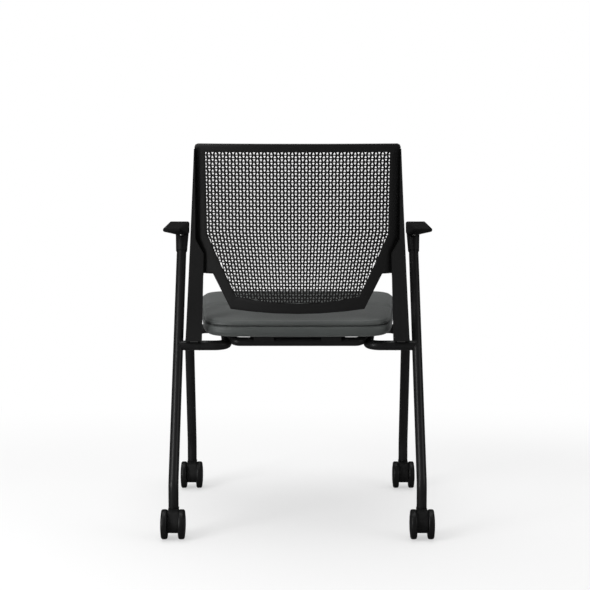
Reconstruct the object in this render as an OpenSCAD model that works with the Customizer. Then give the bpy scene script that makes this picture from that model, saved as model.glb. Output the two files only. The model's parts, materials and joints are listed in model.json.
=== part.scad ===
// Nesting chair: a flip-up seat and a perforated back between two bent-tube side frames on casters.
// Millimetres, +Z up. The sitter faces -Y and has +X on the left. The origin is on the floor,
// under the middle of the chair.

/* [Side frames] */
// Outer diameter of the leg tubes
tube_d = 22; // [18:0.5:25]
// Wall of every tube
tube_wall = 1.8; // [1.2:0.1:2.5]
// Spread of the rear legs at the casters, between tube centres
rear_spread = 536; // [510:1:560]
// Spread of the rear legs at the arms, between tube centres
arm_spread = 530; // [524:1:550]
// Spread of the front legs at the casters, between tube centres
front_spread = 515; // [500:1:530]
// Spread of the front legs at their shoulders, between tube centres
shoulder_spread = 510; // [500:1:530]
// Distance from the rear caster stems forward to the front ones
stem_base = 481; // [440:1:500]
// Lean of the rear leg from the vertical, forward
rear_lean = 28.3; // [26:0.1:30]
// Lean of the front leg from the vertical, rearward
front_lean = 22.9; // [20:0.1:24]
// Height of the corner where a rear leg starts to lean
rear_knee_z = 116; // [110:1:130]
// Height of the corner where a front leg starts to lean
front_knee_z = 110; // [108:1:125]
// Centreline radius of the knee bends
knee_r = 60; // [40:1:64]
// Height of the side stub behind the seat
stub_z = 395.5; // [385:0.5:405]
// Height of the tube run under the front of the seat
run_front_z = 405; // [398:1:407]
// Half distance between the two under-seat runs at their rear end
run_rear_x = 157; // [152:1:160]
// Half distance between the two under-seat runs at their front end
run_front_x = 172; // [168:1:180]
// Centreline radius of the bend from the leg into the seat level
shoulder_r = 40; // [32:1:44]
// Centreline radius of the bends of the under-seat run
run_r = 27; // [24:1:32]

/* [Cross tube] */
// Outer diameter of the rear cross tube, the axle of the seat
cross_d = 20; // [17:0.5:21]
// Height of the cross tube
cross_z = 404.5; // [402:0.5:406]
// Distance from the rear stems forward to the cross tube
cross_fwd = 148; // [142:1:152]
// Half length of the cross tube's straight part, to the corner of its bend
cross_half = 140.5; // [137:0.5:141]
// Distance forward that each bent end reaches over the under-seat run
cross_end = 45; // [38:1:46]

/* [Back] */
// Height of the top edge of the back
back_top_z = 849; // [800:1:880]
// Thickness of the back shell
shell_t = 5; // [4:0.5:7]
// Horizontal radius that the shell is curved to, at its foot
plan_r = 560; // [540:1:640]
// Distance that the middle of the shell stands behind the side stubs, at its foot
back_set = 48; // [42:1:52]
// Distance that the shell leans back between the stub and its top
lean_back = 122; // [90:1:140]
// Bulge of the shell towards the sitter, over its height
lumbar = 12; // [6:1:20]
// Height of the shell's lowest point, in the middle
shell_low_z = 474; // [466:1:480]
// Height of the step at each side of the shell
step_z = 562; // [545:1:580]
// Pitch of the perforations across the shell
cell_w = 23; // [21:0.5:30]
// Pitch of the perforations up the shell
cell_h = 22; // [20:0.5:30]
// Width of the ribs and bars between the perforations
rib_w = 6; // [3:0.5:8]
// Thickness of an upright behind the shell's middle surface
upright_t = 20; // [17:1:24]

/* [Seat] */
// Half width of the seat at its front
seat_front_half = 240; // [225:1:244]
// Half width of the seat at its rear
seat_rear_half = 207; // [190:1:208]
// Depth of the seat
seat_depth = 440; // [400:1:460]
// Distance that the seat reaches behind the cross tube
seat_behind = 38; // [28:1:40]
// Slope of the seat, front up
seat_tilt = 2; // [1:0.1:2.5]
// Thickness of the seat pan
pan_t = 6; // [5:0.5:10]
// Height of the cushion at its rim
cushion_t = 36; // [28:1:45]
// Extra height of the cushion in the middle
crown = 5; // [2:1:12]

/* [Arms] */
// Height of the top of the arm pads
arm_z = 656; // [640:1:680]
// Distance from the rear stems forward to the rear end of a pad
pad_rear_fwd = 183; // [170:1:200]
// Length of an arm pad
pad_len = 204; // [170:1:240]
// Outer face of a pad, from the middle of the chair
pad_out_x = 302; // [290:1:315]
// Thickness of a pad at its ends
pad_edge_t = 9.6; // [7:0.1:12]
// Depth of a pad over its sleeve
pad_keel_t = 20; // [17:1:26]

/* [Casters] */
// Diameter of a caster wheel
wheel_d = 64; // [55:1:68]
// Width of one wheel of the pair
wheel_w = 15; // [12:0.2:18]
// Width of the caster body between the wheels
body_w = 22.4; // [18:0.2:26]
// Distance that the axle trails behind the stem
trail = 18; // [14:1:22]
// Diameter of the stem
stem_d = 10; // [8:0.5:11]
// Diameter of the axle
axle_d = 8; // [6:0.5:10]

/* [Hidden] */
$fn = 96;
fine = 720;

metal = "#262626";
plastic = "#1d1d1d";
shell_black = "#202020";
vinyl = "#4a4e4c";
rubber = "#161616";
steel = "#9a9a9a";

LEFT = 1;
RIGHT = -1;

// Clearances
fit = 0.05;
seat_gap = 0.3;
weld_gap = 0.1;
face_gap = 0.2;
cut = 1;

// Seat rim: how far the cushion is drawn in at each level, and the height of that level
rim_in_shares = [0.6, 0.58, 0.22, 0.07, 0, 0, 0.05, 0.17, 0.1, 0.12, 0.22, 0.42];
rim_z_shares = [0, -0.05, -0.05, 0.04, 0.22, 0.4, 0.56, 0.63, 0.7, 0.82, 0.94, 1];
rim_in = 33;
top_ring_shares = [0.8, 0.6, 0.4, 0.2];
rim_bulge_level = 4;
seat_power = 8;
seat_steps = 48;

// Hinge frame of the seat
pan_clear = 1.7;
pan_over_axis = cross_d / 2 + pan_clear;
seat_mid_y = seat_behind - seat_depth / 2;
bulge_z = pan_over_axis + pan_t + rim_z_shares[rim_bulge_level] * cushion_t;
seat_reach = cross_fwd + (seat_depth - seat_behind) * cos(seat_tilt) - bulge_z * sin(seat_tilt);

// Places along the chair, with the chair's box centred on the origin
rear_y = (seat_reach - trail - wheel_d / 2) / 2;
front_y = rear_y - stem_base;
rear_x = rear_spread / 2;
front_x = front_spread / 2;
arm_x = arm_spread / 2;
shoulder_x = shoulder_spread / 2;
cross_y = rear_y - cross_fwd;
tube_r = tube_d / 2;
cross_r = cross_d / 2;
stub_y = rear_y - (stub_z - rear_knee_z) * tan(rear_lean);

// Weld rings of the bends, and the cross tube's ends
seam_t = 0.2;
seam_over = 0.02;
cross_bend_r = 16;
cross_splay = 12;
cross_rise = 10;
cope_from = 12;

// Casters
wheel_r = wheel_d / 2;
wheel_gap = 0.6;
wheel_fillet = 4;
wheel_dish = 1.5;
hub_share = 0.6;
wheel_bore_depth = 12;
body_r = 19;
body_top_z = wheel_d - 0.8;
body_front = 12;
stem_collar_d = 14;
stem_collar_t = 1;
stem_in_body = 20;
stem_in_socket = 30;
socket_flange_t = 1.5;
socket_len = 32;
leg_z = body_top_z + face_gap + stem_collar_t + socket_flange_t;

// Arms
arm_cap_r = 15;
keel_half = 22;
keel_t = 3;
plate_t = 4;
plate_w = 20;
plate_len = 64;
plate_hole_off = 24;
sleeve_top_z = arm_z - pad_keel_t - face_gap;
sleeve_len = 44;
sleeve_low_d = 25.4;
sleeve_high_d = 32;
pad_round = pad_edge_t / 2;
pad_rear_in_x = 261.3;
pad_front_in_x = 254.7;
arm_screw_d = 5;
arm_screw_len = 9;
arm_screw_head_d = 9;
arm_screw_head_t = 2.5;
keel_y = rear_y - (arm_z - pad_keel_t - rear_knee_z) * tan(rear_lean);

// Back: the shell's middle surface is a band of a circle, turned about an axis in front of the chair
back_foot_z = stub_z + tube_r;
back_axis_y = stub_y + back_set - plan_r;
back_foot = [plan_r, back_foot_z];
back_head = [plan_r + lean_back, back_top_z];
back_arc = arc_centre(back_foot, back_head, lumbar);
side_arc_r = arc_radius(back_foot, back_head, lumbar);
swing_reach = 254.2;
back_swing = round(2 * asin(swing_reach / plan_r));
front_share = 0.75;
flange_t = shell_t / 2;

// Back outline, half of it, from the middle outwards
shell_corner_x = 219.7;
shell_side_x = 216.8;
shell_flare_z = 820;
shell_corner_r = 7;
shell_waist_x = 201;
shell_waist_z = 612;
shell_shoulder_z = 645;
shell_step_x = 185.5;
shell_foot_x = 147;
shell_foot_z = 483;
flange_step_x = 235;
flange_top_x = 218.5;
flange_top_z = 836;
flange_inset = 1.5;
hole_top_z = 832;
hole_side_x = 197;
hole_kink_z = 650;
hole_foot_x = 135.5;
hole_foot_z = 511.5;
hole_low_z = 497;
zigzag = 2.6;
arc_steps = 10;

// Uprights
foot_in_x = 212.6;
foot_out_x = 249.2;
waist_in_x = 205.2;
waist_z = 607;
rail_in_x = 222.6;
rail_z = 639.5;
tip_in_x = 218.3;
tip_out_x = 220.3;
tip_z = 838;
upright_front = 17;
ring_w = 1.4;
ring_off = 2;
ring_over = 0.5;
upright_z = stub_z + tube_r + ring_over + face_gap;
foot_mid_x = (foot_in_x + foot_out_x) / 2;
bracket_w = 18;
ring_x = foot_mid_x - bracket_w / 2 - ring_off - ring_w;
upright_foot = [stub_y, back_foot_z];
upright_head_set = 7;
upright_head = [stub_y + lean_back + upright_head_set, back_top_z];
upright_arc = arc_centre(upright_foot, upright_head, lumbar);
upright_arc_r = arc_radius(upright_foot, upright_head, lumbar);

// Bracket in an upright
bracket_t = 4;
bracket_len = 120;
bracket_lean = 11;
bracket_back = 3.5;
bracket_land = 3;
draft_in = 0.5;
draft_front = 8;
draft_rear_y = 10;
draft_front_y = -16;
bracket_screw_zs = [455, 500];
bracket_screw_d = 5;
bracket_screw_len = 14;
bracket_head_d = 9;
bracket_head_t = 3;

// Screws of the back
back_screw_zs = [585, 622, 672];
back_screw_in = 6;
back_screw_d = 3.6;
back_screw_len = 12;
back_head_d = 7;
back_head_t = 2;

// Hinge clips
clip_x = 75;
clip_w = 45;
clip_wall = 2.5;
clip_block_front = 34;
clip_block_t = 9;
clip_gap = 0.1;
clip_open_low = -122;
clip_open_high = 10;
clip_screw_y = -24;
clip_screw_off = 13;
clip_screw_d = 4;
clip_screw_head_d = 8;
clip_screw_head_t = 2.2;
clip_screw_len = 13;

// Pan and bumpers
pan_inset = 24;
pan_rear_y = -50;
tongue_half = 106;
tongue_rear_y = 16.5;
tongue_bow = 8;
bumper_d = 16;
bumper_ys = [-70, -165];

function unit(v) = v / norm(v);
function arc_radius(p, q, sag) = pow(norm(q - p), 2) / (8 * sag) + sag / 2;
function arc_centre(p, q, sag) = (p + q) / 2
    + (arc_radius(p, q, sag) - sag) * [(q - p)[1], (p - q)[0]] / norm(q - p);
function arc_points(c, r, a0, a1, n) = [for (i = [0:n]) let (a = a0 + (a1 - a0) * i / n)
    c + r * [cos(a), sin(a)]];
function mirrored(points) = [for (i = [len(points) - 1:-1:0]) [-points[i][0], points[i][1]]];

// Radius of the shell's middle surface at a height, and the place of a point on it
function back_r(z) = back_arc[0] - sqrt(pow(side_arc_r, 2) - pow(z - back_arc[1], 2));
function back_y(x, z) = back_axis_y + sqrt(pow(back_r(z), 2) - pow(x, 2));
function back_normal(x, z) =
    let (n = [back_r(z) - back_arc[0], z - back_arc[1]] / side_arc_r, s = x / back_r(z))
    [n[0] * s, n[0] * sqrt(1 - s * s), n[1]];

// Tube bent through a list of corners, each with its bend radius; the ends can be lengthened by more
function heading(p, i) = unit(p[i + 1] - p[i]);
function bend_angle(p, i) = acos(heading(p, i - 1) * heading(p, i));
function bend_cut(p, rs, i) = (i == 0 || i == len(p) - 1) ? 0 : rs[i] * tan(bend_angle(p, i) / 2);
function inward(p, i) = let (d = heading(p, i - 1), e = heading(p, i)) unit(e - d * (d * e));
function across(d) = unit(cross(d, abs(d[0]) < abs(d[2]) ? [1, 0, 0] : [0, 0, 1]));
// Direction square to straight number i, carried along the tube so that its facets line up at every bend
function carried(p, i) = i == 0 ? across(heading(p, 0)) :
    let (d = heading(p, i - 1), m = inward(p, i), n = cross(d, m), a = bend_angle(p, i))
    let (u = carried(p, i - 1))
    (u * -m) * (d * sin(a) - m * cos(a)) + (u * n) * n;

module aim(p, v) {
    u = unit(v);
    translate(p) rotate([0, acos(u[2]), atan2(u[1], u[0])]) children();
}

// Stands children in a frame given by its three axes and its place
module in_frame(x, y, z, c) {
    multmatrix([[x[0], y[0], z[0], c[0]], [x[1], y[1], z[1], c[1]], [x[2], y[2], z[2], c[2]]]) children();
}

module bent_rod(p, rs, r, more = 0) {
    for (i = [0:len(p) - 2]) {
        d = heading(p, i);
        u = carried(p, i);
        a = i == 0 ? -more : bend_cut(p, rs, i);
        b = i == len(p) - 2 ? -more : bend_cut(p, rs, i + 1);
        in_frame(u, cross(d, u), d, p[i] + d * a) cylinder(h = norm(p[i + 1] - p[i]) - a - b, r = r);
    }
    for (i = [1:len(p) - 2]) {
        d = heading(p, i - 1);
        e = heading(p, i);
        m = inward(p, i);
        n = cross(d, m);
        u = carried(p, i - 1);
        v = carried(p, i);
        c = bend_cut(p, rs, i);
        in_frame(-m, d, n, p[i] - d * c + m * rs[i])
            rotate_extrude(angle = bend_angle(p, i))
                translate([rs[i], 0]) rotate(atan2(u * n, u * -m)) circle(r = r);
        in_frame(u, cross(d, u), d, p[i] - d * c) seam(r);
        in_frame(v, cross(e, v), e, p[i] + e * c) seam(r);
    }
}

// Fine weld ring that closes the joint between a straight and a bend
module seam(r) {
    cylinder(h = seam_t, r = r + seam_over, center = true);
}

// Plain cylinder along a line from a point, lengthened at both ends
module straight_rod(p, v, h, more, r) {
    aim(p - unit(v) * more, v) cylinder(h = h + 2 * more, r = r);
}

// Centrelines
rear_leg_points = [
    [rear_x, rear_y, leg_z],
    [rear_x, rear_y, rear_knee_z],
    [arm_x, keel_y, arm_z - pad_keel_t]
];
rear_leg_radii = [0, knee_r, 0];
stub_end_x = rear_x + (arm_x - rear_x) * (stub_z - rear_knee_z) / (arm_z - pad_keel_t - rear_knee_z);
shoulder_y = front_y + (run_front_z - front_knee_z) * tan(front_lean);
front_leg_points = [
    [front_x, front_y, leg_z],
    [front_x, front_y, front_knee_z],
    [shoulder_x, shoulder_y, run_front_z],
    [run_front_x, shoulder_y, run_front_z],
    [run_rear_x, stub_y, stub_z],
    [stub_end_x, stub_y, stub_z]
];
front_leg_radii = [0, knee_r, shoulder_r, run_r, run_r, 0];
run_dir = unit([run_front_x - run_rear_x, shoulder_y - stub_y, run_front_z - stub_z]);
rear_dir = unit([arm_x - rear_x, keel_y - rear_y, arm_z - pad_keel_t - rear_knee_z]);
cross_tip = [
    cross_half + cross_end * tan(cross_splay),
    cross_y - cross_end,
    cross_z + cross_end * tan(cross_rise)
];
cross_points = [
    [-cross_tip[0], cross_tip[1], cross_tip[2]],
    [-cross_half, cross_y, cross_z],
    [cross_half, cross_y, cross_z],
    cross_tip
];
cross_radii = [0, cross_bend_r, cross_bend_r, 0];

module side(s) {
    if (s == LEFT) children();
    else mirror([1, 0, 0]) children();
}

// Frame tubes

module rear_leg(s) {
    color(metal) side(s) difference() {
        bent_rod(rear_leg_points, rear_leg_radii, tube_r, tube_r);
        bent_rod(rear_leg_points, rear_leg_radii, tube_r - tube_wall, tube_d);
        translate([rear_x, rear_y, leg_z - tube_d]) cylinder(h = tube_d, r = tube_d);
        translate([arm_x, keel_y, sleeve_top_z]) cylinder(h = tube_d * 2, r = tube_d);
    }
}

module front_leg(s) {
    color(metal) side(s) difference() {
        bent_rod(front_leg_points, front_leg_radii, tube_r);
        bent_rod(front_leg_points, front_leg_radii, tube_r - tube_wall, cut);
        straight_rod([stub_end_x, stub_y, stub_z], rear_dir, 0, 2 * tube_d, tube_r + weld_gap);
    }
}

// Straight part of the under-seat run, from a distance ahead of its rear corner
module run_rod(from, h, r) {
    straight_rod([run_rear_x, stub_y, stub_z] + run_dir * from, run_dir, h, 0, r);
}

module cross_tube() {
    color(metal) difference() {
        bent_rod(cross_points, cross_radii, cross_r);
        bent_rod(cross_points, cross_radii, cross_r - tube_wall, cut);
        for (s = [LEFT, RIGHT]) side(s) run_rod(cope_from, 2 * cross_end, tube_r + weld_gap);
    }
}

module stub_rings() {
    color(metal) for (s = [LEFT, RIGHT]) side(s) translate([ring_x, stub_y, stub_z]) rotate([0, 90, 0])
        difference() {
            cylinder(h = ring_w, r = tube_r + ring_over);
            translate([0, 0, -cut]) cylinder(h = ring_w + 2 * cut, r = tube_r + fit);
        }
}

// Back shell: shapes seen from behind are extruded along Y, heights along Z

module rear_extrude(y0, y1) {
    translate([0, y1, 0]) rotate([90, 0, 0]) linear_extrude(height = y1 - y0) children();
}

module back_band(front, rear) {
    translate([0, back_axis_y, 0]) rotate([0, 0, 90 - back_swing / 2])
        rotate_extrude(angle = back_swing, $fn = fine) intersection() {
            translate([plan_r / 2, stub_z]) square([plan_r, back_top_z]);
            translate(back_arc) difference() {
                circle(r = side_arc_r + front, $fn = fine);
                circle(r = side_arc_r - rear, $fn = fine);
            }
        }
}

// Everything in front of the surface that lies a distance in front of the middle one
module before_back(front, z0) {
    translate([0, back_axis_y, 0]) rotate([0, 0, 90 - back_swing / 2])
        rotate_extrude(angle = back_swing, $fn = fine) difference() {
            translate([plan_r * front_share, z0]) square([plan_r / 2, back_top_z + cut - z0]);
            translate(back_arc) circle(r = side_arc_r + front, $fn = fine);
        }
}

shell_half = concat(
    [for (i = [0:arc_steps - 1]) let (t = i / arc_steps)
        [shell_foot_x * t, shell_low_z + (shell_foot_z - shell_low_z) * t * t]],
    [[shell_foot_x, shell_foot_z], [shell_step_x, step_z], [shell_waist_x, step_z]],
    [[shell_waist_x, shell_waist_z], [shell_side_x, shell_shoulder_z], [shell_side_x, shell_flare_z]],
    arc_points([shell_corner_x - shell_corner_r, back_top_z - shell_corner_r], shell_corner_r, 0, 90, 6)
);

flange_half = [
    [0, hole_top_z],
    [hole_side_x + flange_inset, hole_top_z],
    [hole_side_x + flange_inset, step_z + shell_waist_z - waist_z],
    [shell_step_x, step_z],
    [flange_step_x, step_z],
    [flange_top_x, flange_top_z],
    [flange_top_x - shell_corner_r, back_top_z - shell_corner_r],
    [0, back_top_z - shell_corner_r]
];

// Half width of the perforated field at a height
function field_half(z) = z > hole_kink_z ? hole_side_x
    : hole_foot_x + (hole_side_x - hole_foot_x) * (z - hole_foot_z) / (hole_kink_z - hole_foot_z);
function field_low(x) = hole_low_z + (hole_foot_z - hole_low_z) * pow(x / hole_foot_x, 2);

cell_rows = floor((hole_top_z - hole_low_z) / cell_h);
cell_cols = floor(2 * hole_side_x / cell_w);

module perforations() {
    for (j = [1:cell_rows]) {
        z0 = hole_top_z - j * cell_h + rib_w / 2;
        z1 = z0 + cell_h - rib_w;
        for (i = [0:cell_cols - 1]) {
            x = (i - (cell_cols - 1) / 2) * cell_w;
            flip = (i + j) % 2 == 0 ? 1 : -1;
            low = (cell_w - rib_w) / 2 - flip * zigzag;
            high = (cell_w - rib_w) / 2 + flip * zigzag;
            low_end = abs(x) + low;
            high_end = abs(x) + high;
            if (low_end < field_half(z0) && high_end < hole_side_x && z0 > field_low(low_end))
                polygon([[x - low, z0], [x + low, z0], [x + high, z1], [x - high, z1]]);
        }
    }
}

module back_shell() {
    y0 = back_y(flange_step_x, stub_z) - shell_t;
    y1 = back_y(0, back_top_z) + 2 * shell_t;
    color(shell_black) difference() {
        union() {
            intersection() {
                back_band(shell_t / 2, shell_t / 2);
                rear_extrude(y0, y1) polygon(concat(shell_half, mirrored(shell_half)));
            }
            intersection() {
                back_band(shell_t / 2, shell_t / 2 - flange_t);
                rear_extrude(y0, y1) {
                    polygon(flange_half);
                    polygon(mirrored(flange_half));
                }
            }
        }
        rear_extrude(y0, y1) perforations();
        at_back_screws() translate([0, 0, -back_screw_len])
            cylinder(h = 2 * back_screw_len, d = back_screw_d + 2 * fit);
    }
}

function rail_mid_x(z) = let (t = (z - upright_z) / (tip_z - upright_z))
    foot_out_x + (tip_out_x - foot_out_x) * t - back_screw_in;

module at_back_screws() {
    for (s = [LEFT, RIGHT], z = back_screw_zs) side(s) {
        x = rail_mid_x(z);
        n = back_normal(x, z);
        aim([x, back_y(x, z), z] + n * shell_t / 2, n) children();
    }
}

module back_screws() {
    color(steel) at_back_screws() {
        cylinder(h = back_head_t, d = back_head_d);
        translate([0, 0, -back_screw_len]) cylinder(h = back_screw_len, d = back_screw_d);
    }
}

// Uprights

module upright(s) {
    y0 = stub_y - upright_front * 2;
    y1 = upright_head[0] + upright_t * 2;
    color(plastic) side(s) difference() {
        intersection() {
            rear_extrude(y0, y1) polygon([
                [foot_in_x, upright_z], [foot_out_x, upright_z], [tip_out_x, tip_z],
                [tip_in_x, tip_z], [rail_in_x, rail_z], [waist_in_x, waist_z]
            ]);
            translate([waist_in_x - cut, 0, 0]) rotate([90, 0, 90])
                linear_extrude(height = foot_out_x - waist_in_x + 2 * cut) intersection() {
                    translate([y0, 0]) square([y1 - y0, back_top_z]);
                    translate(upright_arc) difference() {
                        circle(r = upright_arc_r + upright_front, $fn = fine);
                        circle(r = upright_arc_r - upright_t, $fn = fine);
                    }
                }
        }
        before_back(shell_t / 2, stub_z);
        before_back(shell_t / 2 - flange_t - face_gap, step_z - face_gap);
        seat_draft();
        bracket_space(face_gap);
        at_bracket_screws() {
            translate([0, 0, -bracket_screw_len - fit])
                cylinder(h = 2 * bracket_screw_len, d = bracket_screw_d + 2 * fit);
            translate([0, 0, -bracket_head_t])
                cylinder(h = 2 * bracket_screw_len, d = bracket_head_d + 2 * face_gap);
        }
        at_back_screws() translate([0, 0, -back_screw_len - face_gap])
            cylinder(h = 2 * back_screw_len, d = back_screw_d + 2 * fit);
    }
}

module at_bracket() {
    translate([foot_mid_x, stub_y + bracket_back, stub_z]) rotate([-bracket_lean, 0, 0]) children();
}

module bracket_space(gap) {
    at_bracket() translate([-bracket_w / 2 - gap, -bracket_t / 2 - gap, 0])
        cube([bracket_w + 2 * gap, bracket_t + 2 * gap, bracket_len + gap]);
}

// Slope on the inner front corner of the upright, that the seat's side passes as it flips up
module seat_draft() {
    at_bracket() translate([foot_in_x - foot_mid_x, 0, 0]) linear_extrude(height = step_z - stub_z - cut)
        polygon([[-draft_front, draft_rear_y], [draft_in, draft_rear_y], [draft_front, draft_front_y],
            [-draft_front, draft_front_y]]);
}

// Front face of the bracket at a height
function bracket_face_y(z) = stub_y + bracket_back + (z - stub_z) * tan(bracket_lean)
    - bracket_t / 2 / cos(bracket_lean);

// Tops of the sunk screw heads, along Y
module at_bracket_screws() {
    for (z = bracket_screw_zs)
        aim([foot_mid_x, bracket_face_y(z) - bracket_land - bracket_head_t, z], [0, -1, 0]) children();
}

module upright_bracket(s) {
    color(steel) side(s) difference() {
        bracket_space(0);
        straight_rod([foot_mid_x, stub_y, stub_z], [1, 0, 0], 0, 2 * tube_d, tube_r + weld_gap);
        at_bracket_screws() translate([0, 0, -2 * bracket_screw_len])
            cylinder(h = 2 * bracket_screw_len, d = bracket_screw_d + 2 * fit);
    }
}

module upright_screws() {
    color(steel) for (s = [LEFT, RIGHT]) side(s) at_bracket_screws() {
        translate([0, 0, -bracket_head_t]) cylinder(h = bracket_head_t, d = bracket_head_d);
        translate([0, 0, -bracket_screw_len])
            cylinder(h = bracket_screw_len - bracket_head_t, d = bracket_screw_d);
    }
}

// Arms

module arm_sleeve(s) {
    color(plastic) side(s) difference() {
        aim(rear_leg_points[2], -rear_dir) rotate([0, 0, 45]) rotate_extrude() polygon([
            [tube_r + fit, -tube_d], [sleeve_high_d / 2, -tube_d],
            [sleeve_low_d / 2, sleeve_len], [tube_r + fit, sleeve_len]
        ]);
        translate([arm_x - tube_d, keel_y - 2 * tube_d, sleeve_top_z])
            cube([2 * tube_d, 4 * tube_d, 2 * tube_d]);
    }
}

module plate_block(gap) {
    translate([arm_x, keel_y, arm_z - pad_keel_t + plate_t / 2 - gap / 2])
        cube([plate_w + 2 * gap, plate_len + 2 * gap, plate_t + gap], center = true);
}

module at_arm_screws() {
    for (d = [-plate_hole_off, plate_hole_off])
        translate([arm_x, keel_y + d, arm_z - pad_keel_t]) children();
}

module arm_plate(s) {
    color(steel) side(s) difference() {
        plate_block(0);
        at_arm_screws() translate([0, 0, -cut]) cylinder(h = plate_t + 2 * cut, d = arm_screw_d + 2 * fit);
    }
}

module pad_corner(x, y) {
    translate([x, y, arm_z - pad_round]) sphere(r = pad_round, $fn = 32);
}

module arm_pad(s) {
    y1 = rear_y - pad_rear_fwd - pad_round;
    y0 = y1 - pad_len + 2 * pad_round;
    color(rubber) side(s) difference() {
        hull() {
            pad_corner(pad_out_x - pad_round, y0);
            pad_corner(pad_out_x - pad_round, y1);
            pad_corner(pad_front_in_x + pad_round, y0);
            pad_corner(pad_rear_in_x + pad_round, y1);
            for (d = [-keel_half, keel_half]) translate([arm_x, keel_y + d, arm_z - pad_keel_t])
                cylinder(h = keel_t, r = arm_cap_r, $fn = 32);
        }
        plate_block(face_gap);
        at_arm_screws() cylinder(h = arm_screw_len + face_gap, d = arm_screw_d + 2 * fit);
    }
}

module arm_screws() {
    color(steel) for (s = [LEFT, RIGHT]) side(s) at_arm_screws() {
        translate([0, 0, -arm_screw_head_t]) cylinder(h = arm_screw_head_t, d = arm_screw_head_d);
        cylinder(h = arm_screw_len, d = arm_screw_d);
    }
}

// Seat, drawn in the hinge's own frame: the cross tube's axis is its X axis, the rear is +Y

module at_seat() {
    translate([0, cross_y, cross_z]) rotate([-seat_tilt, 0, 0]) children();
}

function rim_half(y) = (seat_front_half + seat_rear_half) / 2 - (seat_front_half - seat_rear_half) / 2 * y;
function sharp(v) = sign(v) * pow(abs(v), 2 / seat_power);
// Point of the seat's outline at an angle, drawn in by a length
function rim_point(a, inset) = let (y = sharp(sin(a)), w = rim_half(y))
    [(w - inset) * sharp(cos(a)), seat_mid_y + (seat_depth / 2 - inset) * y];
function rim_ring(inset, z) = [for (i = [0:seat_steps - 1])
    let (p = rim_point(i * 360 / seat_steps, inset)) [p[0], p[1], z]];

module seat_cushion() {
    z0 = pan_over_axis + pan_t;
    last_in = rim_in_shares[len(rim_in_shares) - 1] * rim_in;
    top = [for (k = top_ring_shares) let (z = z0 + cushion_t + crown * (1 - k * k * k))
        [for (p = rim_ring(last_in, z)) [p[0] * k, seat_mid_y + (p[1] - seat_mid_y) * k, p[2]]]];
    rim = [for (i = [0:len(rim_in_shares) - 1])
        rim_ring(rim_in_shares[i] * rim_in, z0 + rim_z_shares[i] * cushion_t)];
    rings = concat(rim, top);
    n = seat_steps;
    last = len(rings) - 1;
    points = concat([for (r = rings) each r], [[0, seat_mid_y, z0 + cushion_t + crown]]);
    faces = concat(
        [[for (i = [0:n - 1]) i]],
        [for (k = [0:last - 1], i = [0:n - 1]) let (a = k * n + i, b = k * n + (i + 1) % n)
            each [[a, a + n, b], [b, a + n, b + n]]],
        [for (i = [0:n - 1]) [last * n + i, (last + 1) * n, last * n + (i + 1) % n]]
    );
    color(vinyl) at_seat() polyhedron(points = points, faces = faces, convexity = 4);
}

module pan_shape() {
    difference() {
        polygon([for (i = [0:seat_steps - 1]) rim_point(i * 360 / seat_steps, pan_inset)]);
        translate([-seat_front_half, pan_rear_y]) square([2 * seat_front_half, seat_depth]);
    }
    polygon(concat(
        [[-tongue_half, pan_rear_y - pan_inset], [tongue_half, pan_rear_y - pan_inset]],
        [for (i = [0:arc_steps]) let (t = 1 - 2 * i / arc_steps)
            [tongue_half * t, tongue_rear_y - tongue_bow * t * t]]
    ));
}

module seat_pan() {
    color(plastic) at_seat() difference() {
        translate([0, 0, pan_over_axis]) linear_extrude(height = pan_t) pan_shape();
        at_clip_screws() cylinder(h = clip_screw_len, d = clip_screw_d + 2 * fit);
    }
}

module at_clip_screws() {
    for (s = [LEFT, RIGHT], d = [-clip_screw_off, clip_screw_off])
        translate([s * clip_x + d, clip_screw_y, pan_over_axis - clip_block_t]) children();
}

module hinge_clip(s) {
    outer = cross_r + clip_gap + clip_wall;
    color(plastic) at_seat() difference() {
        translate([s * clip_x - clip_w / 2, 0, 0]) rotate([90, 0, 90]) linear_extrude(height = clip_w)
            difference() {
                union() {
                    intersection() {
                        circle(r = outer);
                        translate([-outer, -outer]) square([2 * outer, outer + pan_over_axis]);
                    }
                    translate([-clip_block_front, pan_over_axis - clip_block_t])
                        square([clip_block_front, clip_block_t]);
                    translate([-outer, 0]) square([2 * outer, pan_over_axis]);
                }
                circle(r = cross_r + clip_gap);
                polygon(concat([[0, 0]], arc_points([0, 0], 2 * outer, clip_open_low, clip_open_high, 2)));
            }
        at_clip_screws() translate([0, 0, -cut])
            cylinder(h = clip_block_t + 2 * cut, d = clip_screw_d + 2 * fit);
    }
}

module hinge_screws() {
    color(steel) at_seat() at_clip_screws() {
        translate([0, 0, -clip_screw_head_t]) cylinder(h = clip_screw_head_t, d = clip_screw_head_d);
        cylinder(h = clip_screw_len, d = clip_screw_d);
    }
}

// Half distance of the run's centre from the middle, at a place in the hinge's frame
function run_x(y) = run_rear_x
    + (run_front_x - run_rear_x) * (stub_y - (cross_y + y)) / (stub_y - shoulder_y);

module seat_bumpers() {
    color(rubber) difference() {
        at_seat() for (s = [LEFT, RIGHT], y = bumper_ys)
            translate([s * run_x(y), y, pan_over_axis - tube_d]) cylinder(h = tube_d, d = bumper_d);
        for (s = [LEFT, RIGHT]) side(s) {
            run_rod(0, stub_y - shoulder_y, tube_r + seat_gap);
            translate([0, shoulder_y, 0]) cube([front_x, stub_y - shoulder_y, run_front_z - cut]);
        }
    }
}

// Casters

function stem_place(end, s) = [s * (end == "rear" ? rear_x : front_x), end == "rear" ? rear_y : front_y, 0];

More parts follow.
